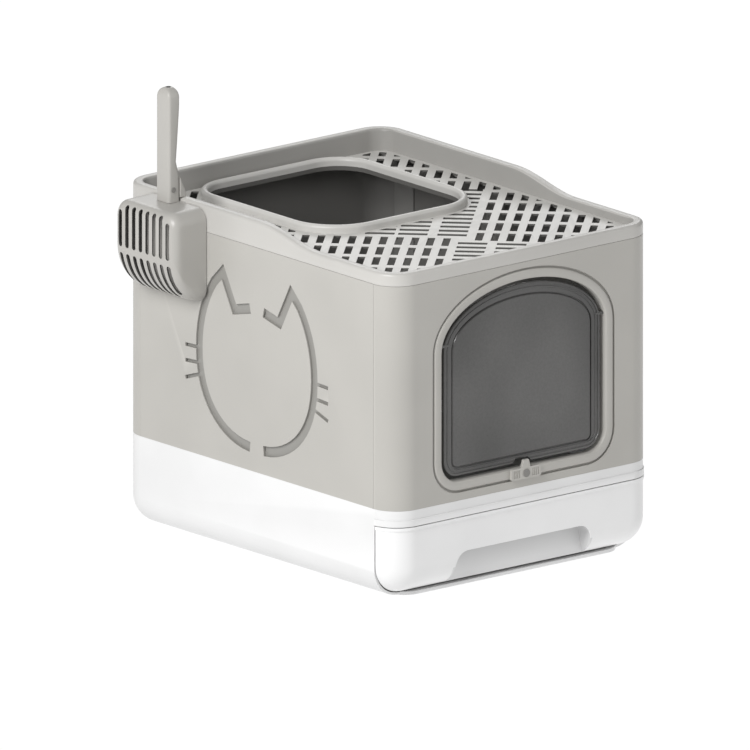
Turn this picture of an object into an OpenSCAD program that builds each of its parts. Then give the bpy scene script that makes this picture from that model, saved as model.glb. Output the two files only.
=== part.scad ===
// Cat litter box with hood: a tub with a pull-out litter drawer, four upright wall panels, a lift-off
// lid with a perforated deck and a top entry, a swinging front flap with a turn latch, and a scoop
// that hangs from the lid's rim.
// The origin is at the centre of the underside. +Z is up and the door and drawer face -Y.

/* [Body] */
// Width, left wall to right wall
body_w = 410; // [390:1:430]
// Depth, front wall to rear wall
body_d = 510; // [490:1:540]
// Radius of the upright corners and of the base's bottom edges
corner_r = 36; // [34:1:40]
// Thickness of the moulded walls
wall_t = 3; // [2.5:0.5:3.5]

/* [Base and drawer] */
// Height of the base, where the wall panels start
base_h = 112; // [110:1:120]
// Depth of the drawer front, which wraps round the front corners
drawer_front_d = 34; // [32:1:36]
// Top of the drawer front
drawer_top = 91; // [88:1:92]
// Width of the finger recess in the drawer front
recess_w = 210; // [180:1:220]
// Top edge of the finger recess
recess_top = 48; // [44:1:52]
// How far the drawer pulls out
drawer_travel = 400; // [300:10:420]

/* [Walls and lid] */
// Height of the seam between the walls and the lid
seam_z = 391; // [380:1:400]
// Top of the perforated deck above the seam
deck_rise = 5; // [4:1:6]
// Thickness of the deck
deck_t = 2.5; // [2:0.5:3]
// Height of the rim above the seam at the front
rim_front_h = 16; // [14:1:18]
// Height of the rim above the seam at the rear
rim_rear_h = 33; // [30:1:36]
// Width of the hollow rim
rim_w = 13; // [12:0.5:14]

/* [Top entry] */
// Width of the collar round the top entry
collar_w = 254; // [240:1:256]
// Width of the collar's rounded ring
collar_ring = 9; // [8:0.5:10]
// Height of the collar above the deck
collar_h = 10; // [8:1:12]

/* [Deck slots] */
// Width of a slot
slot_w = 9; // [8:0.5:9.5]
// Length of a slot
slot_l = 35.5; // [33:0.5:36]
// Spacing of the slots across their width
slot_pitch = 18.9; // [18.9:0.1:20]

/* [Door] */
// Width of the door opening
door_w = 255; // [236:1:256]
// Height of the sill of the door opening
door_sill = 136; // [134:1:140]
// Height at which the arch of the opening starts
door_spring = 298; // [290:1:300]
// Rise of the arch
door_arch = 71; // [66:1:72]
// Width of the ring round the opening
bezel_w = 14; // [10:0.5:15]
// Height of the flap's hinge axis
hinge_z = 306; // [304:1:310]
// Radius of the flap's hinge pins
pin_r = 2.5; // [2:0.1:3]

/* [Cat outline] */
// Half width of the cat's head
cat_r = 108; // [100:1:110]
// Height of the centre of the head
cat_z = 247; // [244:1:250]
// Width of the recessed line
cat_line = 12.5; // [9:0.5:13]
// Depth of the recessed line
cat_depth = 3.5; // [1.5:0.5:4]

/* [Scoop] */
// Width of the scoop's head
scoop_w = 113; // [100:1:114]
// Depth of the scoop's head, out from the wall
scoop_d = 51; // [46:1:54]
// Lip of the scoop's head
scoop_z0 = 304; // [300:1:310]
// Top of the scoop's head
scoop_z1 = 420; // [415:1:421]
// Top of the scoop's handle
handle_top = 562; // [540:1:570]
// Width of the handle
handle_w = 25; // [22:1:28]

/* [Hidden] */
$fn = 96;

wall_grey = [0.79, 0.78, 0.755];
deck_grey = [0.83, 0.825, 0.805];
base_white = [0.96, 0.96, 0.96];
smoke = [0.35, 0.35, 0.34, 0.55];

big = 1000;                     // longer than any part, for cutting
half_w = body_w / 2;
half_d = body_d / 2;
front_y = -half_d;
panel_split = half_d - corner_r;    // where the side panels meet the front and rear panels
seam_gap = 0.1;                 // half of the hairline between two panels
lid_gap = 0.3;                  // hairline under the lid

// Base and drawer
drawer_y = front_y + drawer_front_d;    // back of the drawer front
drawer_gap = 2;                 // gap behind the drawer front
lip_t = 4;                      // floor that reaches under the drawer front
lip_setback = 21;               // how far the floor's edge lies behind the front
lip_r = 26;                     // plan corners of the floor's edge
bead_z = drawer_top + 1.2;      // underside of the bead over the drawer
bead_h = 8;
bead_proud = 1.2;
drawer_lip_h = 4;               // raised lip along the drawer front's top
front_t = 3.5;                  // thickness of the drawer front
front_z0 = 5;                   // underside of the drawer front
window_z = 50;                  // middle of the window in the drawer front's back
window_h = 50;
pocket_back = front_y + 22;     // back wall of the finger recess
recess_r = 18;                  // upper corners of the finger recess
pan_gap = 3.5;                  // room between the pan and the outside of the base at the sides
pan_t = 2.5;
pan_rear_gap = 4;               // extra room behind the pan
pan_z0 = 4.5;
pan_top = drawer_top - 3;

// Wall tongues that locate the panels in the base and the lid
tongue_t = 2;
tongue_h = 8;
tongue_root = 4;                // how far a tongue runs on behind its panel

// Lid
rim_t = 2.5;
deck_z = seam_z + deck_rise;
rise_start = -110;              // the rim climbs from here
rise_end = 0;                   // to here
ledge_w = 4;                    // shelf under the deck's edge
hook_slot_y = 155;
hook_slot_l = 32;
hook_slot_w = 6;
hook_slot_x = half_w - 6;

// Top entry
collar_front = -40;
collar_rear = 234;
collar_rear_r = 55;
collar_front_r = 68;
flange_margin = 4;
flange_x = collar_w / 2 + flange_margin;
flange_front = collar_front - flange_margin;

// Door
flap_gap = 6.5;                 // room round the flap
flap_rim = 15;
flap_t = 3.4;
glass_t = 1.8;
sill_r = 27;                    // bottom corners of the opening
bezel_y0 = front_y - 0.5;       // face of the ring
bezel_d = 13;
bezel_flange = 3.5;             // overlap behind the front panel
hinge_y = bezel_y0 + 6;
bore_clearance = 0.05;
flap_half = door_w / 2 - flap_gap;
knuckle_r = 4.2;
knuckle_l = 12;
pin_l = 17;
notch_base = 15;
notch_top = 9;
notch_h = 6;

// Latch
latch_z = door_sill - 6;
latch_l = 46;
latch_h = 14.4;
latch_t = 4;
latch_y0 = bezel_y0 - 0.3 - latch_t;
tab_top = 16.6;
grip_x = 14.5;                  // centre of each ribbed grip
rivet_r = 2.5;
rivet_head_r = 5;

// Scoop
scoop_x1 = -half_w - 1;         // open side, next to the wall
scoop_x0 = scoop_x1 - scoop_d;
scoop_y = 149.5;
scoop_t = 2.5;
scoop_belly = 367;              // below here the face curves in to the lip
scoop_cols = 8;
scoop_pitch = 12.6;
scoop_slot = 6.5;
handle_y = 153.5;
handle_x0 = -223.8;             // front face of the handle
handle_t = 17;                  // its thickness near the top
hang_r = 3.4;                   // hole in the handle's tip
rim_rear_z = seam_z + rim_rear_h;

// ---- helpers ----

// Rounded rectangle with true arcs
module rounded_rect(w, d, r) {
    square([w - 2 * r, d], center = true);
    square([w, d - 2 * r], center = true);
    for (x = [-1, 1], y = [-1, 1])
        translate([x * (w / 2 - r), y * (d / 2 - r)]) circle(r);
}

// Upright prism of the box's plan, set in from the outside by inset
module plan_prism(inset, z0, z1) {
    translate([0, 0, z0]) linear_extrude(z1 - z0)
        rounded_rect(body_w - 2 * inset, body_d - 2 * inset, corner_r - inset);
}

// Upright ring between two insets
module plan_ring(outer, inner, z0, z1) {
    difference() {
        plan_prism(outer, z0, z1);
        plan_prism(inner, z0 - 1, z1 + 1);
    }
}

// 2D shapes drawn as front views (X, Z) or side views (Y, Z)
module front_view(y0, y1) {
    translate([0, y1, 0]) rotate([90, 0, 0]) linear_extrude(y1 - y0) children();
}
module side_view(x0, x1) {
    translate([x0, 0, 0]) rotate([90, 0, 90]) linear_extrude(x1 - x0) children();
}

// Everything between two values of X, Y or Z
module slab_x(x0, x1) { translate([x0, -big / 2, -big / 2]) cube([x1 - x0, big, big]); }
module slab_y(y0, y1) { translate([-big / 2, y0, -big / 2]) cube([big, y1 - y0, big]); }
module box(x0, x1, y0, y1, z0, z1) { translate([x0, y0, z0]) cube([x1 - x0, y1 - y0, z1 - z0]); }

// Rectangle from a to b whose bottom corners are rounded where their radius is above zero
module cradle(a, b, z0, z1, ra, rb) {
    r = max(ra, rb);
    translate([a, z0 + r]) square([b - a, z1 - z0 - r]);
    translate([a + ra, z0]) square([b - a - ra - rb, r + 1]);
    if (ra > 0) translate([a + ra, z0 + ra]) circle(ra);
    if (rb > 0) translate([b - rb, z0 + rb]) circle(rb);
}

// Post of a rounded corner with a round foot; y is the corner's sign
module corner_post(y, inset, z0, z1) {
    r = corner_r - inset;
    for (x = [-1, 1]) translate([x * (half_w - corner_r), y * (half_d - corner_r), 0]) {
        translate([0, 0, z0 + r]) cylinder(r = r, h = z1 - z0 - r);
        translate([0, 0, z0 + r]) sphere(r);
    }
}

// Tub-like body between the upright corners, rounded along its sides and at one end (y is its sign)
module tub_body(y, inset, z0, z1, other_end) {
    r = corner_r - inset;
    end = y * (half_d - inset);
    side_d = half_d - corner_r;
    intersection() {
        union() {
            front_view(min(y * side_d, other_end), max(y * side_d, other_end))
                cradle(-half_w + inset, half_w - inset, z0, z1, r, r);
            side_view(-half_w + corner_r, half_w - corner_r)
                if (y > 0) cradle(other_end, end, z0, z1, 0, r);
                else cradle(end, other_end, z0, z1, r, 0);
            corner_post(y, inset, z0, z1);
        }
        slab_y(min(end, other_end), max(end, other_end));
    }
}

// ---- base ----

// Side walls, floor and rear of the base, and the bridge over the drawer
module base_solid(inset, z0) {
    tub_body(1, inset, z0, base_h + inset, drawer_y - inset);
    intersection() {
        plan_prism(inset, bead_z - inset, base_h + inset);
        slab_y(-half_d, drawer_y + 1);
    }
}

module base_shell() {
    color(base_white) difference() {
        union() {
            base_solid(0, 0);
            intersection() {
                plan_prism(-bead_proud, bead_z, bead_z + bead_h);
                slab_y(-half_d - 10, drawer_y);
            }
            // the floor's edge under the drawer front
            linear_extrude(lip_t) translate([0, front_y + lip_setback + half_d / 4])
                rounded_rect(body_w - 2 * corner_r + 10, half_d / 2, lip_r);
        }
        base_solid(wall_t, wall_t);
    }
}

// ---- wall panels ----

// Ring of wall with a tongue inside the base and one inside the lid's rim
module wall_ring() {
    plan_ring(0, wall_t, base_h, seam_z);
    plan_ring(wall_t, wall_t + tongue_t, base_h - tongue_h, base_h + tongue_root);
    plan_ring(wall_t, wall_t + tongue_t, seam_z - tongue_root, seam_z + tongue_h);
}

module front_panel() {
    color(wall_grey) difference() {
        intersection() {
            wall_ring();
            slab_y(-half_d - 5, -panel_split - seam_gap);
        }
        front_view(front_y - 5, front_y + 20) polygon(door_outline(bezel_w + 0.3));
    }
}

module rear_panel() {
    color(wall_grey) intersection() {
        wall_ring();
        slab_y(panel_split + seam_gap, half_d + 5);
    }
}

// Left side panel; the right one is its mirror image
module side_panel() {
    s = panel_split - seam_gap;
    difference() {
        union() {
            box(-half_w, -half_w + wall_t, -s, s, base_h, seam_z);
            box(-half_w + wall_t, -half_w + wall_t + tongue_t, -s, s,
                base_h - tongue_h, base_h + tongue_root);
            box(-half_w + wall_t, -half_w + wall_t + tongue_t, -s, s,
                seam_z - tongue_root, seam_z + tongue_h);
            side_view(-half_w + wall_t - 0.5, -half_w + cat_depth + 2) cat_outline(2);
        }
        side_view(-half_w - 1, -half_w + cat_depth) cat_outline(0);
    }
}

module left_panel() { color(wall_grey) side_panel(); }
module right_panel() { color(wall_grey) mirror([1, 0, 0]) side_panel(); }

// Point at a signed distance beside a path's corner, mitred
function unit(v) = v / norm(v);
function left_of(v) = [-v[1], v[0]];
function step_dir(path, i) = unit(path[i + 1] - path[i]);
function beside(path, i, d) =
    let (n = len(path) - 2,
         a = left_of(step_dir(path, max(i - 1, 0))),
         b = left_of(step_dir(path, min(i, n))),
         m = unit(a + b))
    path[i] + m * d / (m * a);
function band(path, half) = concat(
    [for (i = [0:len(path) - 1]) beside(path, i, half)],
    [for (i = [len(path) - 1:-1:0]) beside(path, i, -half)]);

// Half of the cat's head: brow, ear, cheek and chin, as the middle of the line
cat_ear = [64.5, 348];
cat_brow = [42, 306];
cat_gap = 12.5;
cat_up = 128;
cat_down = 106.5;
cat_full = 0.9;                 // below 1 the cheeks are fuller than a circle
function fuller(v) = sign(v) * pow(abs(v), cat_full);
function cheek(a) =
    a > 0 ? [cat_r * cos(a), cat_up * sin(a)]
          : [cat_r * fuller(cos(a)), cat_down * fuller(sin(a))];
cat_path = concat([[cat_gap, 313], cat_brow, cat_ear],
    [for (a = [42:-6:-78]) [0, cat_z] + cheek(a)],
    [[cat_gap, cat_z - cat_down + 0.5]]);
whiskers = [[[106, 245.3], [134, 244]], [[106, 226.4], [134, 224.5]], [[106, 212.5], [134, 203]]];

// Cat's head in outline with three whiskers a side, widened by extra on each side
module cat_outline(extra) {
    for (s = [0, 1]) mirror([s, 0]) {
        polygon(band(cat_path, cat_line / 2 + extra));
        for (w = whiskers) polygon(band(w, 2.25 + extra));
    }
}

// Strip inside a corner that joins a side panel to the next one; x and y are the corner's signs
module corner_strip(x, y) {
    a = half_w - wall_t;
    color(deck_grey) scale([x, y, 1]) {
        box(a - 3, a, panel_split - 26, panel_split - 0.3, base_h + 8, seam_z - 8);
        box(a - 3, a - 1.6, panel_split - 1, panel_split + 9, base_h + 8, seam_z - 8);
    }
}

// ---- door ----

// Outline of the door opening, grown by d on every side
function arc_points(c, rx, rz, a0, a1, n) =
    [for (i = [0:n]) let (a = a0 + (a1 - a0) * i / n) [c[0] + rx * cos(a), c[1] + rz * sin(a)]];
function door_outline(d) =
    let (h = door_w / 2 + d, r = sill_r + d, z = door_sill - d)
    concat(arc_points([h - r, z + r], r, r, -90, 0, 8),
        arc_points([0, door_spring], h, door_arch + d, 0, 180, 40),
        arc_points([-h + r, z + r], r, r, 180, 270, 8));

module door_bezel() {
    color(wall_grey) difference() {
        union() {
            front_view(bezel_y0, bezel_y0 + bezel_d) polygon(door_outline(bezel_w));
            front_view(front_y + wall_t, front_y + wall_t + 2) polygon(door_outline(bezel_w + bezel_flange));
        }
        front_view(bezel_y0 - 1, bezel_y0 + bezel_d + 1) polygon(door_outline(0));
        translate([0, hinge_y, hinge_z]) rotate([0, 90, 0])
            cylinder(r = pin_r + bore_clearance, h = door_w + 14, center = true);
        translate([0, bezel_y0 - 1, latch_z]) rotate([-90, 0, 0])
            cylinder(r = rivet_r + bore_clearance, h = bezel_d + 2);
    }
}

// Clear flap with a raised rim, a notch over the latch and a knuckle at each hinge pin
module door_flap() {
    color(smoke) difference() {
        union() {
            difference() {
                front_view(hinge_y - 2, hinge_y - 2 + flap_t) polygon(door_outline(-flap_gap));
                front_view(hinge_y - 5, hinge_y - 1.2) polygon(door_outline(-flap_gap - flap_rim));
                front_view(hinge_y - 1.2 + glass_t, hinge_y + 5)
                    polygon(door_outline(-flap_gap - flap_rim));
            }
            for (s = [-1, 1]) translate([s * (flap_half - knuckle_l / 2 - 0.5), hinge_y, hinge_z])
                rotate([0, 90, 0]) cylinder(r = knuckle_r, h = knuckle_l, center = true);
        }
        front_view(hinge_y - 10, hinge_y + 10) polygon([
            [-notch_base, door_sill], [notch_base, door_sill], [notch_base, door_sill + flap_gap],
            [notch_top, door_sill + flap_gap + notch_h], [-notch_top, door_sill + flap_gap + notch_h],
            [-notch_base, door_sill + flap_gap]]);
        for (s = [-1, 1]) translate([s * flap_half, hinge_y, hinge_z]) rotate([0, 90, 0])
            cylinder(r = pin_r, h = 2 * knuckle_l, center = true);
    }
}

// Hinge pin on the side of sign s
module flap_pin(s) {
    color("silver") translate([s * (flap_half + 1.5), hinge_y, hinge_z])
        rotate([0, 90, 0]) cylinder(r = pin_r, h = pin_l, center = true);
}

// Turn latch with a ribbed grip at each end and a tab that points up
module latch_bar() {
    color(wall_grey) translate([0, 0, latch_z]) difference() {
        union() {
            front_view(latch_y0, latch_y0 + latch_t) {
                rounded_rect(latch_l, latch_h, 3);
                polygon([[-6.5, 0], [6.5, 0], [6.5, latch_h / 2], [4, tab_top], [-4, tab_top],
                    [-6.5, latch_h / 2]]);
            }
        }
        for (s = [-1, 1], i = [-1.5:1.5])
            box(s * grip_x + i * 2.8 - 0.8, s * grip_x + i * 2.8 + 0.8,
                latch_y0 - 1, latch_y0 + 1, -4.8, 4.8);
        translate([0, latch_y0 - 1, 0]) rotate([-90, 0, 0]) cylinder(r = rivet_r, h = latch_t + 2);
    }
}

module latch_rivet() {
    back = bezel_y0 + bezel_d + 0.3;
    color(deck_grey) translate([0, 0, latch_z]) rotate([-90, 0, 0]) {
        translate([0, 0, latch_y0 - 1.4]) cylinder(r = rivet_head_r, h = 1.4);
        translate([0, 0, latch_y0]) cylinder(r = rivet_r, h = back - latch_y0);
        translate([0, 0, back]) cylinder(r = 4, h = 1.4);
    }
}

// ---- lid ----

// Height of the rim's top along the depth of the box
function rise(t) = t * t * (3 - 2 * t);
function rim_top(y) =
    let (t = min(max((y - rise_start) / (rise_end - rise_start), 0), 1))
    seam_z + rim_front_h + (rim_rear_h - rim_front_h) * rise(t);

// Side view of the space under the rim's top, lowered by drop
module under_rim(drop) {
    curve = [for (i = [0:20]) rise_start + (rise_end - rise_start) * i / 20];
    polygon(concat([[-half_d - 5, seam_z - 5], [-half_d - 5, rim_top(-half_d) - drop]],
        [for (y = curve) [y, rim_top(y) - drop]],
        [[half_d + 5, rim_top(half_d) - drop], [half_d + 5, seam_z - 5]]));
}

module lid_rim() {
    z0 = seam_z + lid_gap;
    color(wall_grey) difference() {
        union() {
            intersection() {
                plan_ring(0, rim_w, z0, rim_rear_z + 5);
                side_view(-half_w, half_w) under_rim(0);
            }
            plan_ring(rim_w - 1, rim_w + ledge_w, z0, deck_z - deck_t);
        }
        intersection() {
            plan_ring(rim_t, rim_w - rim_t, z0 - 1, rim_rear_z + 5);
            side_view(-half_w, half_w) under_rim(rim_t);
        }
        for (s = [-1, 1]) translate([s * hook_slot_x, hook_slot_y, rim_rear_z])
            cube([hook_slot_w, hook_slot_l, 3 * rim_t], center = true);
    }
}

// Outline of the top entry's collar, set in by d
module collar_plan(d) {
    h = collar_w / 2 - d;
    y0 = collar_front + d;
    y1 = collar_rear - d;
    rf = collar_front_r - d;
    rr = collar_rear_r - d;
    translate([-h, y0 + rf]) square([2 * h, y1 - y0 - rf - rr]);
    translate([-h + rf, y0]) square([2 * (h - rf), rf + 1]);
    translate([-h + rr, y1 - rr - 1]) square([2 * (h - rr), rr + 1]);
    for (s = [-1, 1]) {
        translate([s * (h - rf), y0 + rf]) circle(rf);
        translate([s * (h - rr), y1 - rr]) circle(rr);
    }
}

// Centre of a deck slot from its place along the two diagonals
function from_diagonal(p, q) = [(p + q) / sqrt(2), (q - p) / sqrt(2)];

// One slot, along its diagonal q or across it
module deck_slot(p, q, along_q) {
    translate(from_diagonal(p, q)) rotate(along_q ? 45 : -45) square([slot_l, slot_w], center = true);
}

// Slots of the deck: rows along one diagonal, with two blocks that run along the other
row_pitch = 2 * slot_pitch + slot_w + 0.4;
function outer_zone(p, q) = (p <= -25 && q < 110) || (p <= 90 && q <= -98);
function right_zone(p, q) = (p >= 109 && q >= -105) || q >= 140;
module deck_slots() {
    for (k = [-15:17], j = [-6:8]) {
        p = -13.9 + slot_pitch * k;
        qa = -115.9 + row_pitch * j;
        qc = -87.4 + row_pitch * j;
        if (outer_zone(p, qa)) deck_slot(p, qa, true);
        if (right_zone(p, qc)) deck_slot(p, qc, true);
    }
    for (i = [0:11], c = [-2.2, 37.5, 84.8])
        deck_slot(c, -82.5 + (slot_pitch + 0.1) * i, false);
    for (i = [0:8], c = [113, 160, 207])
        deck_slot(c, -119 - (slot_pitch + 0.1) * i, false);
}

// Deck pattern kept clear of the rim and the collar
module deck_holes() {
    translate([0, 0, deck_z - deck_t - 1]) linear_extrude(deck_t + 2) intersection() {
        deck_slots();
        difference() {
            rounded_rect(body_w - 2 * (rim_w + 6), body_d - 2 * (rim_w + 6), corner_r - rim_w - 6);
            collar_plan(-4);
        }
    }
}

// A piece of the deck between two limits
module deck_plate(x0, x1, y0, y1) {
    color(deck_grey) difference() {
        intersection() {
            plan_prism(rim_w + 0.1, deck_z - deck_t, deck_z);
            box(x0, x1, y0, y1, seam_z, deck_z + 1);
        }
        deck_holes();
    }
}

// Section of the collar, round on top
module collar_section(z0, z1) {
    r = collar_ring / 2;
    translate([0, z0]) square([collar_ring, z1 - z0 - r]);
    translate([r, z1 - r]) circle(r);
}

// Quarter of the collar at a corner of radius r; x and y are the corner's signs
module collar_corner(x, y, r, z0, z1) {
    start = y > 0 ? (x > 0 ? 0 : 90) : (x > 0 ? 270 : 180);
    end_y = y > 0 ? collar_rear : collar_front;
    translate([x * (collar_w / 2 - r), end_y - y * r, 0]) rotate(start)
        rotate_extrude(angle = 90) translate([r - collar_ring, 0]) collar_section(z0, z1);
}

module collar_tube(z0, z1) {
    h = collar_w / 2;
    rf = collar_front_r;
    rr = collar_rear_r;
    for (x = [-h, h - collar_ring])
        front_view(collar_front + rf, collar_rear - rr) translate([x, 0]) collar_section(z0, z1);
    side_view(-h + rf, h - rf) translate([collar_front, 0]) collar_section(z0, z1);
    side_view(-h + rr, h - rr) translate([collar_rear - collar_ring, 0]) collar_section(z0, z1);
    for (x = [-1, 1]) {
        collar_corner(x, -1, rf, z0, z1);
        collar_corner(x, 1, rr, z0, z1);
    }
}

module entry_collar() {
    color(deck_grey) {
        difference() {
            intersection() {
                plan_prism(rim_w + 0.1, deck_z - deck_t, deck_z);
                box(-flange_x, flange_x, flange_front, half_d, seam_z, deck_z + 1);
            }
            deck_holes();
            translate([0, 0, seam_z]) linear_extrude(big) collar_plan(collar_ring / 2);
        }
        collar_tube(seam_z - 0.5, deck_z + collar_h);
    }
}

// ---- litter drawer ----

// Space of the pan, set in by t, open at the top
module pan_body(t, z1) {
    translate([0, -pan_rear_gap, 0])
        tub_body(1, pan_gap + t, pan_z0 + t, z1, drawer_y - drawer_gap + pan_rear_gap + t);
}

module litter_drawer() {
    color(base_white) difference() {
        pan_body(0, pan_top);
        pan_body(pan_t, pan_top + corner_r);
    }
}

// Outside of the drawer front, set in by t
module front_body(t, z1) {
    tub_body(-1, t, front_z0 + t, z1, drawer_y - drawer_gap + t);
}

// Finger recess: straight top edge, sides that flare towards the bottom
module recess_view(grow) {
    h = recess_w / 2 + grow;
    z = recess_top + grow;
    r = recess_r;
    polygon(concat([[-h - 5, 0], [h + 5, 0], [h + 1.5, 20]],
        arc_points([h - r, z - r], r, r, 0, 90, 6),
        arc_points([-h + r, z - r], r, r, 90, 180, 6),
        [[-h - 1.5, 20]]));
}

module drawer_front() {
    lip_z = drawer_top - drawer_lip_h;
    color(base_white) difference() {
        union() {
            difference() {
                front_body(0, drawer_top);
                intersection() {
                    front_body(front_t, lip_z);
                    slab_y(-half_d, drawer_y - drawer_gap - pan_t);
                }
                front_view(drawer_y - drawer_gap - 2 * pan_t, drawer_y) translate([0, window_z])
                    rounded_rect(body_w - 2 * corner_r, window_h, 8);
            }
            intersection() {
                plan_prism(-bead_proud, lip_z, drawer_top);
                slab_y(-half_d - 10, drawer_y - drawer_gap);
            }
            intersection() {
                front_body(0, drawer_top);
                front_view(front_y, pocket_back + front_t) recess_view(front_t);
            }
        }
        front_view(front_y - 10, pocket_back) recess_view(0);
    }
}

// ---- scoop ----

// Side profile of the scoop's head, set in by t
module scoop_profile(t) {
    x0 = scoop_x0 + t;
    r = 13 - t;
    top = scoop_z1 - t;
    polygon(concat([[scoop_x1 + t, top]],
        arc_points([x0 + r, top - r], r, r, 90, 180, 8),
        arc_points([scoop_x1, scoop_belly], scoop_x1 - x0, scoop_belly - scoop_z0 - t, 180, 270, 20),
        [[scoop_x1 + t, scoop_z0 + t]]));
}

module scoop_head(t) {
    intersection() {
        front_view(scoop_y - scoop_w / 2 + t, scoop_y + scoop_w / 2 - t) scoop_profile(t);
        side_view(scoop_x0 - 5, scoop_x1 + 5) translate([scoop_y, (scoop_z0 + scoop_z1) / 2])
            rounded_rect(scoop_w - 2 * t, scoop_z1 - scoop_z0 - 2 * t, 20 - t);
    }
}

module scoop_basket() {
    color(wall_grey) difference() {
        intersection() {
            scoop_head(0);
            slab_x(scoop_x0 - 5, scoop_x1);
        }
        scoop_head(scoop_t);
        for (i = [0:scoop_cols - 1]) {
            y = scoop_y + (i - (scoop_cols - 1) / 2) * scoop_pitch;
            edge = (i == 0 || i == scoop_cols - 1) ? 7 : 0;
            translate([0, y - scoop_slot / 2, 0]) {
                box(scoop_x0 - 5, scoop_x1 - 14, 0, scoop_slot, 362, 415 - edge);
                box(scoop_x0 - 5, scoop_x1 - 14, 0, scoop_slot, 309 + edge, 354.5);
            }
        }
    }
}

// Handle: flat bar that thickens upwards, with a rounded tip and a hole to hang it by
module scoop_handle() {
    tip_r = handle_w / 2;
    color(wall_grey) difference() {
        intersection() {
            front_view(handle_y - tip_r, handle_y + tip_r) polygon(concat(
                [[handle_x0, scoop_z1], [scoop_x1 - 1, scoop_z1], [scoop_x1 - 1, 452],
                 [handle_x0 + 11.7, 470], [handle_x0 + handle_t, 540]],
                arc_points([handle_x0 + 8.1, handle_top - 9], 8.9, 9, 0, 180, 10),
                [[handle_x0 - 0.8, 540], [handle_x0, 470]]));
            side_view(handle_x0 - 10, scoop_x1 + 10) translate([handle_y, 0]) {
                translate([0, handle_top - tip_r]) circle(tip_r);
                translate([-tip_r, scoop_z1 - 1]) square([handle_w, handle_top - tip_r - scoop_z1 + 1]);
            }
        }
        translate([handle_x0 + 8.1, handle_y, handle_top - 13]) cylinder(r = hang_r, h = 20);
        translate([handle_x0 + 6, handle_y, 436]) rotate([90, 0, 0])
            cylinder(r = 2, h = handle_w + 2, center = true);
    }
}

// Hook that rests on the rim and drops into the rim's slot
module scoop_hook() {
    z = rim_rear_z + 0.3;
    w = handle_w;
    y0 = handle_y - w / 2;
    color(wall_grey) front_view(y0, y0 + w) polygon([
        [scoop_x1 - 1, z + 26], [scoop_x1 - 1, z], [-hook_slot_x - 1.5, z],
        [-hook_slot_x - 1.5, z - 13], [-hook_slot_x + 1.5, z - 13], [-hook_slot_x + 1.5, z + 6],
        [-hook_slot_x - 1, z + 12]]);
}

// Pin through the foot of the handle
module scoop_pin() {
    color("silver") translate([handle_x0 + 6, handle_y, 436]) rotate([90, 0, 0]) {
        cylinder(r = 2, h = handle_w + 2, center = true);
        translate([0, 0, handle_w / 2 + 0.2]) cylinder(r = 3.4, h = 1);
    }
}

base_shell();
front_panel();
rear_panel();
left_panel();
right_panel();
corner_strip(-1, -1);  // corner_strip_front_left
corner_strip(1, -1);  // corner_strip_front_right
corner_strip(-1, 1);  // corner_strip_rear_left
corner_strip(1, 1);  // corner_strip_rear_right
door_bezel();
door_flap();
flap_pin(-1);  // flap_pin_left
flap_pin(1);  // flap_pin_right
latch_bar();
latch_rivet();
lid_rim();
deck_plate(-half_w, half_w, -half_d, flange_front);  // deck_front
deck_plate(-half_w, -flange_x, flange_front, half_d);  // deck_left
deck_plate(flange_x, half_w, flange_front, half_d);  // deck_right
entry_collar();
litter_drawer();
drawer_front();
scoop_basket();
scoop_handle();
scoop_hook();
scoop_pin();
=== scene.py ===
"""Looks of the hooded cat litter box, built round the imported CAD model."""
import math

import bmesh
import bpy
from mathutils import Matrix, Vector


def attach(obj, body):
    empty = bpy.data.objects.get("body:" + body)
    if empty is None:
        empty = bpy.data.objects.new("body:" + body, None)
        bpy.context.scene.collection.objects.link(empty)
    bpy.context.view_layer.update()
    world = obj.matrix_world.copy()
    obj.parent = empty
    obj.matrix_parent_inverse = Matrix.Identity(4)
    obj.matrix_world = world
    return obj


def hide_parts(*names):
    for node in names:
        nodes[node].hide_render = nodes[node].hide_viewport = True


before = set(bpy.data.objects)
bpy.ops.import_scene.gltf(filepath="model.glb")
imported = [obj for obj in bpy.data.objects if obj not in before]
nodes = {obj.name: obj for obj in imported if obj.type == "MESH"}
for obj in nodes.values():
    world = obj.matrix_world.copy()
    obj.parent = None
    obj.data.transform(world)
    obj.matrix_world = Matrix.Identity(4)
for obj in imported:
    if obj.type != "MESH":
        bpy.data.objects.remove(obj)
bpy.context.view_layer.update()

MM = 0.001
scene = bpy.context.scene


# ---- materials ----

def material(name, colour, rough, **values):
    """A new Principled material, with its node tree and its shader node."""
    mat = bpy.data.materials.new(name)
    mat.use_nodes = True
    tree = mat.node_tree
    shader = tree.nodes["Principled BSDF"]
    shader.inputs["Base Color"].default_value = (*colour, 1)
    shader.inputs["Roughness"].default_value = rough
    for key, value in values.items():
        shader.inputs[key.replace("_", " ")].default_value = value
    return mat, tree, shader


def noise(tree, coord, scale, detail=3.0, rough=0.5):
    n = tree.nodes.new("ShaderNodeTexNoise")
    n.inputs["Scale"].default_value = scale
    n.inputs["Detail"].default_value = detail
    n.inputs["Roughness"].default_value = rough
    tree.links.new(coord, n.inputs["Vector"])
    return n.outputs["Fac"]


def ramp(tree, source, stops):
    """Colour ramp through (position, colour) stops."""
    r = tree.nodes.new("ShaderNodeValToRGB")
    elements = r.color_ramp.elements
    while len(elements) < len(stops):
        elements.new(0.5)
    for element, (place, colour) in zip(elements, stops):
        element.position = place
        element.color = (*colour, 1) if len(colour) == 3 else colour
    tree.links.new(source, r.inputs["Fac"])
    return r.outputs["Color"]


def remap(tree, source, low, high):
    m = tree.nodes.new("ShaderNodeMapRange")
    m.inputs["To Min"].default_value = low
    m.inputs["To Max"].default_value = high
    tree.links.new(source, m.inputs["Value"])
    return m.outputs["Result"]


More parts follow.
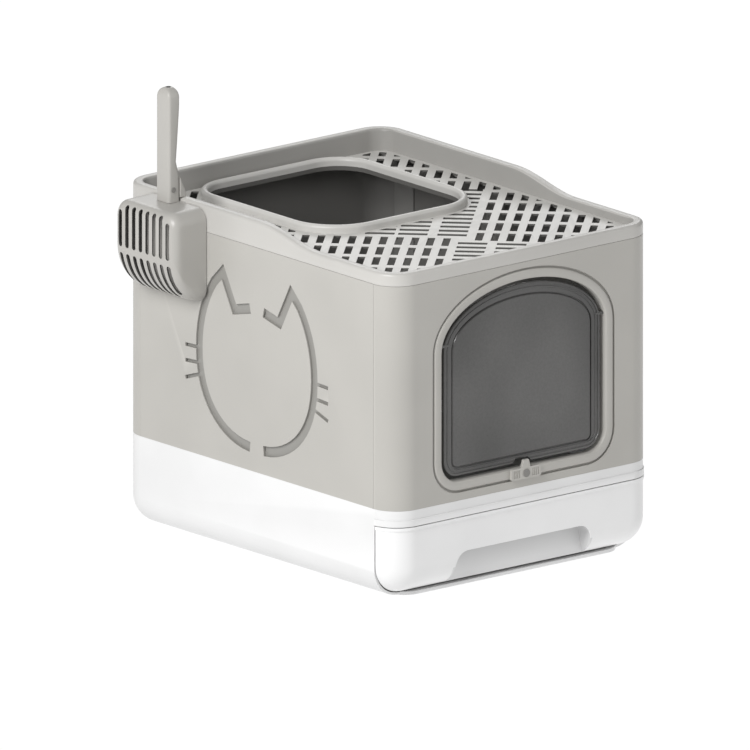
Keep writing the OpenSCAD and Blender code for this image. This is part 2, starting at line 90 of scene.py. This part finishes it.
def math_node(tree, kind, first, second=None):
    m = tree.nodes.new("ShaderNodeMath")
    m.operation = kind
    for socket, value in zip(m.inputs, (first, second)):
        if isinstance(value, (int, float)):
            socket.default_value = value
        elif value is not None:
            tree.links.new(value, socket)
    return m.outputs[0]


def vector_node(tree, kind, first, second):
    n = tree.nodes.new("ShaderNodeVectorMath")
    n.operation = kind
    for socket, value in zip(n.inputs, (first, second)):
        if isinstance(value, tuple):
            socket.default_value = value
        else:
            tree.links.new(value, socket)
    return n.outputs["Value"] if kind == "DOT_PRODUCT" else n.outputs[0]


def facing_in(tree, coord):
    """Mask of painted shade inside the box: 1 on walls that face the middle of the box, 0 elsewhere."""
    normal = tree.nodes.new("ShaderNodeNewGeometry").outputs["Normal"]
    outward = vector_node(tree, "DOT_PRODUCT", normal, vector_node(tree, "MULTIPLY", coord, (1, 1, 0)))
    return math_node(tree, "LESS_THAN", outward, -0.17)


DECK_SLOT_TOP = 0.3959


def slot_wall(tree, coord):
    """Mask of painted shade in the deck's slots: 1 on upright faces below the deck's top, 0 elsewhere.
    """
    normal = tree.nodes.new("ShaderNodeNewGeometry").outputs["Normal"]
    upright = math_node(tree, "LESS_THAN", math_node(
        tree, "ABSOLUTE", vector_node(tree, "DOT_PRODUCT", normal, (0, 0, 1))), 0.6)
    height = vector_node(tree, "DOT_PRODUCT", coord, (0, 0, 1))
    below = math_node(tree, "LESS_THAN", height, DECK_SLOT_TOP)
    return math_node(tree, "MULTIPLY", upright, below)


def recessed(tree, coord):
    """Mask of painted shade: 0 on the side walls' outer skin, rising to 1 at the floor of the cat's
    outline.
    """
    apart = tree.nodes.new("ShaderNodeSeparateXYZ")
    tree.links.new(coord, apart.inputs[0])
    m = tree.nodes.new("ShaderNodeMapRange")
    for key, value in (("From Min", 0.2047), ("From Max", 0.2032)):
        m.inputs[key].default_value = value
    tree.links.new(math_node(tree, "ABSOLUTE", apart.outputs[0]), m.inputs["Value"])
    return m.outputs["Result"]


RECESS_HALF = 0.1085
RECESS_MID_Y = -0.2423
RECESS_HALF_DEPTH = 0.0108
RECESS_LOW, RECESS_TOP, RECESS_LIMIT = 0.016, 0.048, 0.0505


def finger_recess(tree, coord):
    """Mask of painted shade in the finger recess: 1 on the recess's walls under its top edge, less
    towards the bottom, 0 elsewhere.
    """
    apart = tree.nodes.new("ShaderNodeSeparateXYZ")
    tree.links.new(coord, apart.inputs[0])
    near = math_node(tree, "LESS_THAN", math_node(tree, "ABSOLUTE", apart.outputs[0]), RECESS_HALF)
    deep = math_node(tree, "ABSOLUTE", math_node(tree, "ADD", apart.outputs[1], -RECESS_MID_Y))
    inside = math_node(tree, "MULTIPLY", near, math_node(tree, "LESS_THAN", deep, RECESS_HALF_DEPTH))
    low = math_node(tree, "LESS_THAN", apart.outputs[2], RECESS_LIMIT)
    inside = math_node(tree, "MULTIPLY", inside, low)
    fade = tree.nodes.new("ShaderNodeMapRange")
    for key, value in (("From Min", RECESS_LOW), ("From Max", RECESS_TOP), ("To Min", 0.25)):
        fade.inputs[key].default_value = value
    tree.links.new(apart.outputs[2], fade.inputs["Value"])
    return math_node(tree, "MULTIPLY", inside, fade.outputs["Result"])


GRAIN = 0.00006


def moulded(name, colour, rough, shades=()):
    """Moulded plastic: faint flow mottling, fine grain, and sharp edges painted a little lighter as a
    highlight.

    shades is a list of (mask, colour) of painted shade: each mask marks faces that are painted in its
    darker colour."""
    mat, tree, shader = material(name, colour, rough, IOR=1.46)
    coord = tree.nodes.new("ShaderNodeTexCoord").outputs["Object"]
    light = tuple(min(1.0, c * 1.025) for c in colour)
    dark = tuple(c * 0.975 for c in colour)
    mottle = ramp(tree, noise(tree, coord, 9.0, 2.0), [(0.35, dark), (0.65, light)])
    # painted highlight: sharp convex edges are painted 10% lighter
    edge = tree.nodes.new("ShaderNodeNewGeometry").outputs["Pointiness"]
    edge_highlight = ramp(tree, edge, [(0.53, (0, 0, 0)), (0.62, (1, 1, 1))])
    mix = tree.nodes.new("ShaderNodeMix")
    mix.data_type = "RGBA"
    tree.links.new(edge_highlight, mix.inputs["Factor"])
    tree.links.new(mottle, mix.inputs["A"])
    mix.inputs["B"].default_value = (*[min(1.0, c * 1.10) for c in colour], 1)
    paint = mix.outputs["Result"]
    for where, shade in shades:
        dim = tree.nodes.new("ShaderNodeMix")
        dim.data_type = "RGBA"
        tree.links.new(where(tree, coord), dim.inputs["Factor"])
        tree.links.new(paint, dim.inputs["A"])
        dim.inputs["B"].default_value = (*shade, 1)
        paint = dim.outputs["Result"]
    tree.links.new(paint, shader.inputs["Base Color"])
    tree.links.new(remap(tree, noise(tree, coord, 30.0), rough - 0.05, rough + 0.05),
                   shader.inputs["Roughness"])
    bump = tree.nodes.new("ShaderNodeBump")
    bump.inputs["Strength"].default_value = 0.12
    bump.inputs["Distance"].default_value = GRAIN
    tree.links.new(noise(tree, coord, 1400.0, 2.0), bump.inputs["Height"])
    tree.links.new(bump.outputs["Normal"], shader.inputs["Normal"])
    return mat


# painted shade: walls that face into the box are painted in this darker colour
INSIDE_SHADE = (0.17, 0.166, 0.158)
WALL = moulded("wall_plastic", (0.437, 0.425, 0.397), 0.36, shades=[(facing_in, INSIDE_SHADE)])
# side panels: painted shade on the floor of the cat's outline and on the walls inside
PANEL = moulded("panel_plastic", (0.437, 0.425, 0.397), 0.36,
                shades=[(recessed, (0.275, 0.268, 0.25)), (facing_in, INSIDE_SHADE)])
# the rim's inner walls are painted darker as shade
LID = moulded("lid_plastic", (0.505, 0.494, 0.470), 0.34, shades=[(facing_in, (0.36, 0.352, 0.335))])
# the deck's slot walls are painted near-black as shade
DECK = moulded("deck_plastic", (0.585, 0.575, 0.550), 0.34, shades=[(slot_wall, (0.13, 0.127, 0.12))])
WHITE = moulded("base_plastic", (0.745, 0.745, 0.745), 0.32)
# the finger recess is painted darker as shade, most under its top edge
FRONT = moulded("drawer_plastic", (0.83, 0.83, 0.83), 0.32,
                shades=[(finger_recess, (0.55, 0.55, 0.55))])
PAN = moulded("pan_plastic", (0.40, 0.397, 0.387), 0.45)
SCOOP = moulded("scoop_plastic", (0.415, 0.404, 0.380), 0.32)
PIN = moulded("pin_plastic", (0.22, 0.214, 0.202), 0.42)
STRIP = moulded("strip_plastic", (0.20, 0.196, 0.188), 0.5)
# painted shade: near-black for faces that lie in shade
SHADE = moulded("shaded_plastic", (0.085, 0.083, 0.079), 0.5)
# painted shade: grey for the groove round the door ring
GROOVE_SHADE = moulded("groove_shade_plastic", (0.36, 0.35, 0.328), 0.45)


def smoked(name):
    """Smoked clear plastic with a fine moulded texture that scatters what is behind it."""
    mat, tree, shader = material(name, (0.118, 0.116, 0.112), 0.30, Alpha=0.88, IOR=1.5,
                                 Coat_Weight=0.45, Coat_Roughness=0.10)
    coord = tree.nodes.new("ShaderNodeTexCoord").outputs["Object"]
    # painted shade: soft darker blotches for the shadowy inside seen through the flap
    cloud = ramp(tree, noise(tree, coord, 6.5, 1.0),
                 [(0.36, (0.062, 0.061, 0.059)), (0.62, (0.112, 0.110, 0.107))])
    speck = ramp(tree, noise(tree, coord, 420.0, 1.0), [(0.3, (0.86, 0.86, 0.86)), (0.7, (1, 1, 1))])
    mix = tree.nodes.new("ShaderNodeMix")
    mix.data_type = "RGBA"
    mix.blend_type = "MULTIPLY"
    mix.inputs["Factor"].default_value = 1.0
    tree.links.new(cloud, mix.inputs["A"])
    tree.links.new(speck, mix.inputs["B"])
    tree.links.new(mix.outputs["Result"], shader.inputs["Base Color"])
    tree.links.new(remap(tree, noise(tree, coord, 900.0, 1.0), 0.24, 0.40), shader.inputs["Roughness"])
    bump = tree.nodes.new("ShaderNodeBump")
    bump.inputs["Strength"].default_value = 0.5
    bump.inputs["Distance"].default_value = 0.00015
    tree.links.new(noise(tree, coord, 700.0, 1.0), bump.inputs["Height"])
    tree.links.new(bump.outputs["Normal"], shader.inputs["Normal"])
    return mat


SMOKE = smoked("flap_plastic")

# ---- mesh helpers ----

def mesh_object(name, points, faces, mat, body, replaced, slot_name, crease=35.0,
                shaded=None):
    """A shaded piece in metres from points in millimetres, tied to its CAD body and nodes.

    shaded is (material, faces) for faces that lie in shade, such as the inside of a bowl."""
    mesh = bpy.data.meshes.new(name)
    mesh.from_pydata([tuple(c * MM for c in p) for p in points], [], faces)
    bm = bmesh.new()
    bm.from_mesh(mesh)
    bmesh.ops.remove_doubles(bm, verts=bm.verts, dist=0.000005)
    bmesh.ops.recalc_face_normals(bm, faces=bm.faces)
    bm.to_mesh(mesh)
    bm.free()
    mesh.polygons.foreach_set("use_smooth", [True] * len(mesh.polygons))
    mesh.set_sharp_from_angle(angle=math.radians(crease))
    mesh.materials.append(mat)
    if shaded:
        mesh.materials.append(shaded[0])
        for i in shaded[1]:
            mesh.polygons[i].material_index = 1
    obj = bpy.data.objects.new(name, mesh)
    scene.collection.objects.link(obj)
    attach(obj, body)
    if replaced:
        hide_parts(*replaced)
    return obj


def cut(obj, points, faces, wall=0):
    """Cuts closed shells, in millimetres, out of a piece.

    wall is the material slot that the cut faces get."""
    mesh = bpy.data.meshes.new("cutter")
    mesh.from_pydata([tuple(c * MM for c in p) for p in points], [], faces)
    bm = bmesh.new()
    bm.from_mesh(mesh)
    bmesh.ops.recalc_face_normals(bm, faces=bm.faces)
    bm.to_mesh(mesh)
    bm.free()
    for mat in obj.data.materials:
        mesh.materials.append(mat)
    mesh.polygons.foreach_set("material_index", [wall] * len(mesh.polygons))
    cutter = bpy.data.objects.new("cutter", mesh)
    scene.collection.objects.link(cutter)
    boolean = obj.modifiers.new("cut", "BOOLEAN")
    boolean.object = cutter
    boolean.operation = "DIFFERENCE"
    boolean.solver = "EXACT"
    bpy.context.view_layer.update()
    graph = bpy.context.evaluated_depsgraph_get()
    result = bpy.data.meshes.new_from_object(obj.evaluated_get(graph))
    obj.modifiers.remove(boolean)
    name = obj.data.name
    old = obj.data
    obj.data = result
    bpy.data.meshes.remove(old)
    result.name = name
    bpy.data.objects.remove(cutter)
    bpy.data.meshes.remove(mesh)
    result.polygons.foreach_set("use_smooth", [True] * len(result.polygons))
    result.set_sharp_from_angle(angle=math.radians(35))


def soften(obj, width, angle=35.0, segments=3):
    """Rounds a piece's sharp edges and evens out its shading."""
    bevel = obj.modifiers.new("bevel", "BEVEL")
    bevel.width = width * MM
    bevel.segments = segments
    bevel.limit_method = "ANGLE"
    bevel.angle_limit = math.radians(angle)
    normals = obj.modifiers.new("normals", "WEIGHTED_NORMAL")
    normals.weight = 90


def arc(cx, cy, rx, ry, start, end, steps):
    """Points of an elliptical arc, ends included, angles in degrees."""
    out = []
    for i in range(steps + 1):
        t = math.radians(start + (end - start) * i / steps)
        out.append((cx + rx * math.cos(t), cy + ry * math.sin(t)))
    return out


def normals_of(loop):
    """Outward mitre of each corner of a closed anticlockwise loop."""
    out = []
    n = len(loop)
    for i in range(n):
        (ax, ay), (bx, by), (cx, cy) = loop[i - 1], loop[i], loop[(i + 1) % n]
        ux, uy, vx, vy = bx - ax, by - ay, cx - bx, cy - by
        lu, lv = math.hypot(ux, uy), math.hypot(vx, vy)
        nx, ny = uy / lu + vy / lv, -ux / lu - vx / lv
        scale = 2 / max(nx * nx + ny * ny, 0.5)
        out.append((nx * scale, ny * scale))
    return out


def lofted(rings, close_first=False, close_last=False, ring_closed=False):
    """Faces between rings of equal length; the ends can be filled, or joined to each other."""
    count = len(rings[0])
    points = [p for r in rings for p in r]
    faces = []
    last = len(rings) if ring_closed else len(rings) - 1
    for k in range(last):
        a, b = k * count, ((k + 1) % len(rings)) * count
        for i in range(count):
            j = (i + 1) % count
            faces.append((a + i, a + j, b + j, b + i))
    if close_first:
        faces.append(tuple(range(count)))
    if close_last:
        faces.append(tuple((len(rings) - 1) * count + i for i in range(count)))
    return points, faces


def merged(*shells):
    """Several (points, faces) shells as one."""
    points, faces = [], []
    for p, f in shells:
        base = len(points)
        points += p
        faces += [tuple(i + base for i in face) for face in f]
    return points, faces


def rounded_plan(half_x, half_y, radius, centre_y=0.0, steps=14):
    """Anticlockwise rounded rectangle; radius is (rear, front)."""
    rear, front = radius
    top, low = centre_y + half_y, centre_y - half_y
    return (arc(half_x - rear, top - rear, rear, rear, 0, 90, steps)
            + arc(-half_x + rear, top - rear, rear, rear, 90, 180, steps)
            + arc(-half_x + front, low + front, front, front, 180, 270, steps)
            + arc(half_x - front, low + front, front, front, 270, 360, steps))


# ---- lid's rim and collar ----

HALF_W, HALF_D, CORNER = 205, 255, 36
SEAM = 391.0
RIM_FRONT, RIM_REAR = 16.0, 33.0


def rim_height(y):
    t = min(max((y + 110) / 110, 0), 1)
    return SEAM + RIM_FRONT + (RIM_REAR - RIM_FRONT) * t * t * (3 - 2 * t)


def rim_stations():
    """Plan of the box with extra points along the sides where the rim climbs."""
    out = []
    plan = rounded_plan(HALF_W, HALF_D, (CORNER, CORNER))
    for i, (x, y) in enumerate(plan):
        out.append((x, y))
        nx, ny = plan[(i + 1) % len(plan)]
        if abs(ny - y) > 100:
            for k in range(1, 60):
                out.append((x + (nx - x) * k / 60, y + (ny - y) * k / 60))
    return out


def rim():
    """Hollow rim: outer skin, rounded top, inner wall, a return lip inside and a ledge for the deck."""
    plan = rim_stations()
    width, r_out, r_in = 13.0, 4.2, 3.4
    profile = [(2.6, None, SEAM + 0.3), (0.35, None, SEAM + 0.3), (0, None, SEAM + 0.7)]
    profile += [(r_out - dx, r_out - dz, None) for dx, dz in
                [(r_out * math.cos(math.radians(a)), r_out * math.sin(math.radians(a)))
                 for a in range(0, 91, 15)]]
    profile += [(width - r_in + r_in * math.sin(math.radians(a)),
                 r_in - r_in * math.cos(math.radians(a)), None) for a in range(0, 91, 15)]
    profile += [(width, None, SEAM + 2.7), (width + 4, None, SEAM + 2.5), (width + 4, None, SEAM + 0.3),
                (width - 2.5, None, SEAM + 0.3), (width - 2.5, 2.6, None), (2.6, 2.6, None)]
    normals = normals_of(plan)
    rings = []
    for inset, below, height in profile:
        ring = []
        for (x, y), (nx, ny) in zip(plan, normals):
            px, py = x - nx * inset, y - ny * inset
            ring.append((px, py, height if below is None else rim_height(py) - below))
        rings.append(ring)
    return lofted(rings, ring_closed=True)


# ---- door ----

DOOR_HALF, DOOR_CORNER, DOOR_SILL = 127.5, 27, 136
ARCH_Z, ARCH_RISE = 298, 71


def door_loop(grow, drop=0.0, steps=40):
    """Outline of the door opening in a front view, grown by a distance, its sill lowered by drop."""
    half, radius, sill = DOOR_HALF + grow, max(DOOR_CORNER + grow, 1.0), DOOR_SILL - grow - drop
    return (arc(half - radius, sill + radius, radius, radius, -90, 0, 10)
            + arc(0, ARCH_Z, half, ARCH_RISE + grow, 0, 180, steps)
            + arc(-half + radius, sill + radius, radius, radius, 180, 270, 10))


def front_rings(profile):
    """Rings round the door: profile is (grow, y)."""
    return [[(x, y, z) for x, z in door_loop(grow)] for grow, y in profile]


def flap_rings(profile):
    """Rings of the flap: profile is (inset, y). Its rim is narrower along the bottom."""
    return [[(x, y, z) for x, z in door_loop(-FLAP_GAP - inset, min(max(inset - 7.2, 0) * 0.7, 4))]
            for inset, y in profile]


def bezel():
    """Ring round the doorway, its face rounded into a fine groove at the panel."""
    face, wall = -255.5, -252.0
    profile = [(0, -242.6), (0, face + 2.6), (0.3, face + 1.4), (1.0, face + 0.5), (2.2, face),
               (9.6, face), (10.6, face + 0.3), (11.3, face + 1.0), (11.8, wall - 1.2),
               (12.3, wall - 0.45), (13.0, wall - 0.1), (13.9, wall + 0.05), (17.4, wall + 0.05),
               (17.4, wall + 1.9), (14, wall + 1.9), (14, -242.6)]
    return lofted(front_rings(profile), ring_closed=True)


FLAP_GAP = 5.6
FLAP_FRONT, FLAP_BACK = -251.5, -248.1


def flap():
    """Clear flap: a stepped rim with two fine ridges, and a panel set back behind a sharp step."""
    face = FLAP_FRONT
    rows = [(0, FLAP_BACK + 0.2), (0, face + 1.2), (0.4, face + 0.4), (1.2, face), (3.0, face),
            (3.5, face + 1.0), (5.4, face + 1.0), (5.8, face + 0.2), (7.2, face + 0.2),
            (7.7, face + 1.2), (12.8, face + 1.4), (13.1, face + 2.8), (14.3, face + 2.8),
            (14.6, face + 1.5), (15.8, face + 0.4), (17.2, face + 0.3)]
    front = flap_rings(rows)
    back = flap_rings([(17.2, face + 2.9), (16.6, FLAP_BACK), (0.3, FLAP_BACK)])
    return merged(lofted(front, close_last=True), lofted(back + front[:1], close_first=True))


def notch_cutter():
    low, top = DOOR_SILL + FLAP_GAP - 2, DOOR_SILL + FLAP_GAP + 6
    outline = [(-15.5, low), (15.5, low), (15, low + 2), (9, top), (-9, top), (-15, low + 2)]
    rings = [[(x, y, z) for x, z in outline] for y in (FLAP_FRONT - 4, FLAP_BACK + 4)]
    return lofted(rings, close_first=True, close_last=True)


# ---- scoop ----

SCOOP_Y = 149.5
SCOOP_BACK, SCOOP_FACE = -206.0, -257.0


def scoop_ring(depth, inset):
    """Outline of the scoop's head at a distance out from the wall, set in by a wall's thickness."""
    reach = SCOOP_BACK - SCOOP_FACE - inset
    t = min(depth / reach, 1.0)
    round_r = 13.0
    past = max(depth - (reach - round_r), 0) / round_r
    tuck = round_r * (1 - math.sqrt(max(1 - past * past, 0)))
    half = 56.5 - inset - tuck * 0.8
    top = 420 - inset - tuck * 0.8 - 1.0 * t
    low = 304 + inset + 63 * (1 - math.sqrt(max(1 - t * t, 0)))
    radius = max(min(17 - inset * 0.5 - tuck * 0.25, (top - low) / 2 - 0.5), 4)
    mid_z, half_z = (top + low) / 2, (top - low) / 2
    loop = (arc(half - radius, half_z - radius, radius, radius, 0, 90, 10)
            + arc(-half + radius, half_z - radius, radius, radius, 90, 180, 10)
            + arc(-half + radius, -half_z + radius, radius, radius, 180, 270, 10)
            + arc(half - radius, -half_z + radius, radius, radius, 270, 360, 10))
    return [(SCOOP_BACK - depth, SCOOP_Y + u, mid_z + v) for u, v in loop]


SCOOP_WALL = 1.8
SCOOP_REACH = SCOOP_BACK - SCOOP_FACE
SCOOP_DEPTHS = [0, 0.6, 6, 12, 18, 24, 30, 34, 37, 40, 42.5, 44.5, 46.2, 47.6, 48.8, 49.7, 50.4, 50.8,
                SCOOP_REACH]


def scoop_shell():
    """Open head of the scoop: outer skin with round edges, and an inner skin."""
    outer = [scoop_ring(d, 0) for d in SCOOP_DEPTHS]
    scale = (SCOOP_REACH - SCOOP_WALL) / SCOOP_REACH
    inner = [scoop_ring(d * scale, SCOOP_WALL) for d in SCOOP_DEPTHS]
    return lofted(inner[::-1] + outer, close_first=True, close_last=True)


def slot_cutters():
    """Round-ended slots in two rows of eight."""
    shells = []
    for i in range(8):
        y = SCOOP_Y + (i - 3.5) * 12.6
        edge = 7 if i in (0, 7) else 0
        for low, top in ((362, 415 - edge), (309 + edge, 354.5)):
            r = 3.25
            outline = arc(y, top - r, r, r, 0, 180, 8) + arc(y, low + r, r, r, 180, 360, 8)
            rings = [[(x, u, v) for u, v in outline] for x in (SCOOP_FACE - 5, SCOOP_BACK - 14)]
            shells.append(lofted(rings, close_first=True, close_last=True))
    return merged(*shells)


HANDLE_FRONT, HANDLE_Y = -224.4, 153.5
HANDLE_TIP, HANDLE_THICK = 549.5, 17.6


def handle():
    """Flat bar that thickens upwards, broad at its foot, with a round tip."""
    rows = [(420.1, 17.2, 12.5), (452, 17.0, 12.5), (457, 15.6, 12.5), (470, 12.4, 12.5),
            (500, 14.8, 12.5), (530, 17.0, 12.5), (540, 17.5, 12.5), (HANDLE_TIP, HANDLE_THICK, 12.5)]
    for a in (15, 30, 45, 60, 72, 82, 88):
        c = math.cos(math.radians(a))
        rise = 12.1 * math.sin(math.radians(a))
        rows.append((HANDLE_TIP + rise, 3.2 + 14.4 * c ** 0.7, max(12.5 * c, 1.2)))
    rings = []
    for z, thick, half in rows:
        mid_x = HANDLE_FRONT + (thick if z < HANDLE_TIP else HANDLE_THICK) / 2
        r = min(3.6, thick / 2 - 0.2, half - 0.2)
        hx = thick / 2
        loop = (arc(hx - r, half - r, r, r, 0, 90, 5)
                + arc(-hx + r, half - r, r, r, 90, 180, 5)
                + arc(-hx + r, -half + r, r, r, 180, 270, 5)
                + arc(hx - r, -half + r, r, r, 270, 360, 5))
        rings.append([(mid_x + u, HANDLE_Y + v, z) for u, v in loop])
    return lofted(rings, close_first=True, close_last=True)


def hang_hole():
    """Bore down into the handle's tip."""
    mid_x = HANDLE_FRONT + HANDLE_THICK / 2
    circle = arc(mid_x, HANDLE_Y, 3.4, 3.4, 0, 345, 23)
    rings = [[(x, y, z) for x, y in circle] for z in (549, 570)]
    return lofted(rings, close_first=True, close_last=True)


# ---- custom pieces ----

mesh_object("rim_moulding", *rim(), LID, "lid", ["lid_rim"], "lid_plastic")
LOOP = len(door_loop(0))
FLANK = range(7 * LOOP, 10 * LOOP)  # three bands where the ring's outer side meets the wall, painted grey as the groove's shade
mesh_object("door_ring", *bezel(), WALL, "box", ["door_bezel"], "wall_plastic", crease=60,
            shaded=(GROOVE_SHADE, FLANK))
flap_piece = mesh_object("flap_panel", *flap(), SMOKE, "flap", ["door_flap"], "flap_plastic", crease=25)
cut(flap_piece, *notch_cutter())
# the head's inner skin and its slot walls are painted near-black as shade
basket = mesh_object("scoop_head", *scoop_shell(), SCOOP, "scoop", ["scoop_basket"], "scoop_plastic",
                     shaded=(SHADE, range((len(SCOOP_DEPTHS) - 1) * len(scoop_ring(0, 0)))))
cut(basket, *slot_cutters(), wall=1)
soften(basket, 0.6)
# the hang hole's wall is painted near-black as shade
grip = mesh_object("scoop_grip", *handle(), SCOOP, "scoop", ["scoop_handle"], "scoop_plastic",
                   crease=60, shaded=(SHADE, []))
cut(grip, *hang_hole(), wall=1)

# ---- finish of the CAD nodes ----

FINISH = {
    "base_shell": WHITE, "litter_drawer": PAN, "drawer_front": FRONT,
    "front_panel": WALL, "rear_panel": WALL, "left_panel": PANEL, "right_panel": PANEL,
    "door_bezel": WALL, "latch_bar": WALL, "latch_rivet": PIN, "flap_pin_left": SMOKE,
    "flap_pin_right": SMOKE, "door_flap": SMOKE, "lid_rim": LID, "deck_front": DECK,
    "deck_left": DECK, "deck_right": DECK, "entry_collar": DECK, "scoop_basket": SCOOP,
    "scoop_handle": SCOOP, "scoop_hook": SCOOP, "scoop_pin": PIN,
}
EDGE = {"left_panel": 1.5, "right_panel": 1.5, "drawer_front": 1.6, "latch_bar": 0.5,
        "base_shell": 0.7, "scoop_hook": 1.2}
for name, node in nodes.items():
    mat = FINISH.get(name, STRIP)
    for s in node.material_slots:
        s.material = mat
    weld = node.modifiers.new("weld", "WELD")
    weld.merge_threshold = 0.00002
    flat = node.modifiers.new("flat", "DECIMATE")
    flat.decimate_type = "DISSOLVE"
    flat.angle_limit = math.radians(0.5)
    bevel = node.modifiers.new("bevel", "BEVEL")
    bevel.width = EDGE.get(name, 0.5) * MM
    bevel.segments = 3
    bevel.limit_method = "ANGLE"
    bevel.angle_limit = math.radians(35)
    node.data.polygons.foreach_set("use_smooth", [True] * len(node.data.polygons))
    normals = node.modifiers.new("normals", "WEIGHTED_NORMAL")
    normals.weight = 90

# ---- camera, light and floor ----

def camera():
    azimuth, elevation = math.radians(-39.707), math.radians(15.041)
    aim = Vector((-0.0121, 0.0100, 0.1979))
    back = Vector((math.sin(azimuth) * math.cos(elevation), -math.cos(azimuth) * math.cos(elevation),
                   math.sin(elevation)))
    data = bpy.data.cameras.new("camera")
    data.type = "ORTHO"
    data.ortho_scale = 0.8998
    cam = bpy.data.objects.new("camera", data)
    scene.collection.objects.link(cam)
    cam.location = aim + back * 3
    cam.rotation_mode = "QUATERNION"
    cam.rotation_quaternion = (-back).to_track_quat("-Z", "Y")
    scene.camera = cam


def softbox(name, place, aim, size, power):
    data = bpy.data.lights.new(name, "AREA")
    data.shape = "RECTANGLE"
    data.size, data.size_y = size
    data.energy = power
    lamp = bpy.data.objects.new(name, data)
    scene.collection.objects.link(lamp)
    lamp.location = place
    lamp.rotation_mode = "QUATERNION"
    lamp.rotation_quaternion = (Vector(aim) - Vector(place)).to_track_quat("-Z", "Y")


def studio():
    world = bpy.data.worlds.new("studio")
    scene.world = world
    world.use_nodes = True
    world.node_tree.nodes["Background"].inputs["Color"].default_value = (1, 1, 1, 1)
    world.node_tree.nodes["Background"].inputs["Strength"].default_value = 0.33
    softbox("key", (-2.45, -0.8, 1.9), (0, 0, 0.2), (1.4, 1.4), 74)
    softbox("back", (1.9, 2.3, 2.1), (0, 0, 0.3), (1.6, 1.6), 20)
    softbox("fill", (1.8, -2.4, 1.4), (0, 0, 0.2), (1.8, 1.8), 9)
    mesh = bpy.data.meshes.new("floor")
    half = 6
    mesh.from_pydata([(-half, -half, 0), (half, -half, 0), (half, half, 0), (-half, half, 0)], [],
                     [(0, 1, 2, 3)])
    floor = bpy.data.objects.new("floor", mesh)
    scene.collection.objects.link(floor)
    floor.location.z = -0.0005
    mat, tree, shader = material("floor", (0.05, 0.05, 0.05), 0.9)
    glow = tree.nodes.new("ShaderNodeEmission")
    glow.inputs["Strength"].default_value = 1.02
    tree.links.new(glow.outputs[0], tree.nodes["Material Output"].inputs["Surface"])
    mesh.materials.append(mat)
    scene.view_settings.view_transform = "Standard"


camera()
studio()
